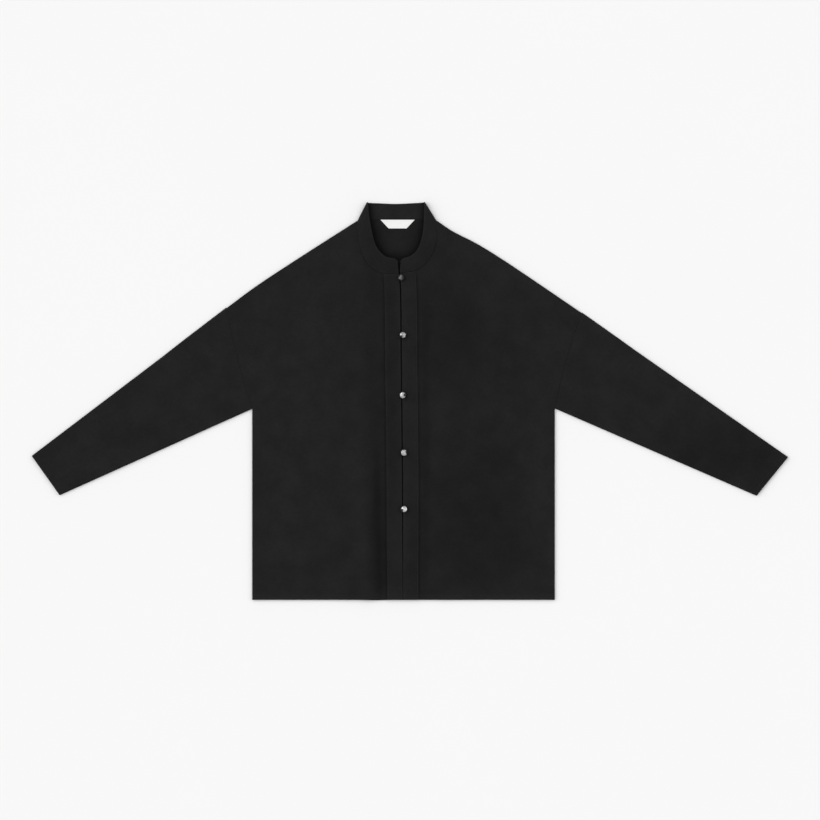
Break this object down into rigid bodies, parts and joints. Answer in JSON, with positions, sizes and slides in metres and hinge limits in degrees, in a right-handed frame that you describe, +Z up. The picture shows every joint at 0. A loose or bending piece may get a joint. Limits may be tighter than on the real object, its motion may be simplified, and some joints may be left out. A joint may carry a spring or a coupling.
{
  "type": "stand-collar hanfu inner top, laid flat",
  "caption": "Long-sleeved cloth top with dropped shoulders, a stand collar and an edge-to-edge buttoned front, laid flat on its back with the sleeves spread.",
  "frame": {"origin": "middle of the garment's bounding box, on the surface it lies on", "axes": "+X to the wearer's left, across the spread sleeves; +Y from the hem to the collar; +Z up from the surface, through back and front"},
  "size_m": [1.4754, 0.7759, 0.0143],
  "materials": {
    "cloth": "matt soft black plain weave",
    "label": "smooth white woven satin, bare",
    "button": "polished grey metal with a hammered face and darkened hollows",
    "cord": "matt black twisted cord"
  },
  "bodies": {
    "root": {"back": "cloth", "front_right": "cloth", "front_left": "cloth", "placket_right": "cloth", "placket_left": "cloth", "sleeve_right": "cloth", "sleeve_left": "cloth", "collar": "cloth", "neck_label": "label", "button_1": "button", "button_2": "button", "button_3": "button", "button_4": "button", "button_5": "button", "loop_1": "cord", "loop_2": "cord", "loop_3": "cord", "loop_4": "cord", "loop_5": "cord"}
  },
  "joints": []
}
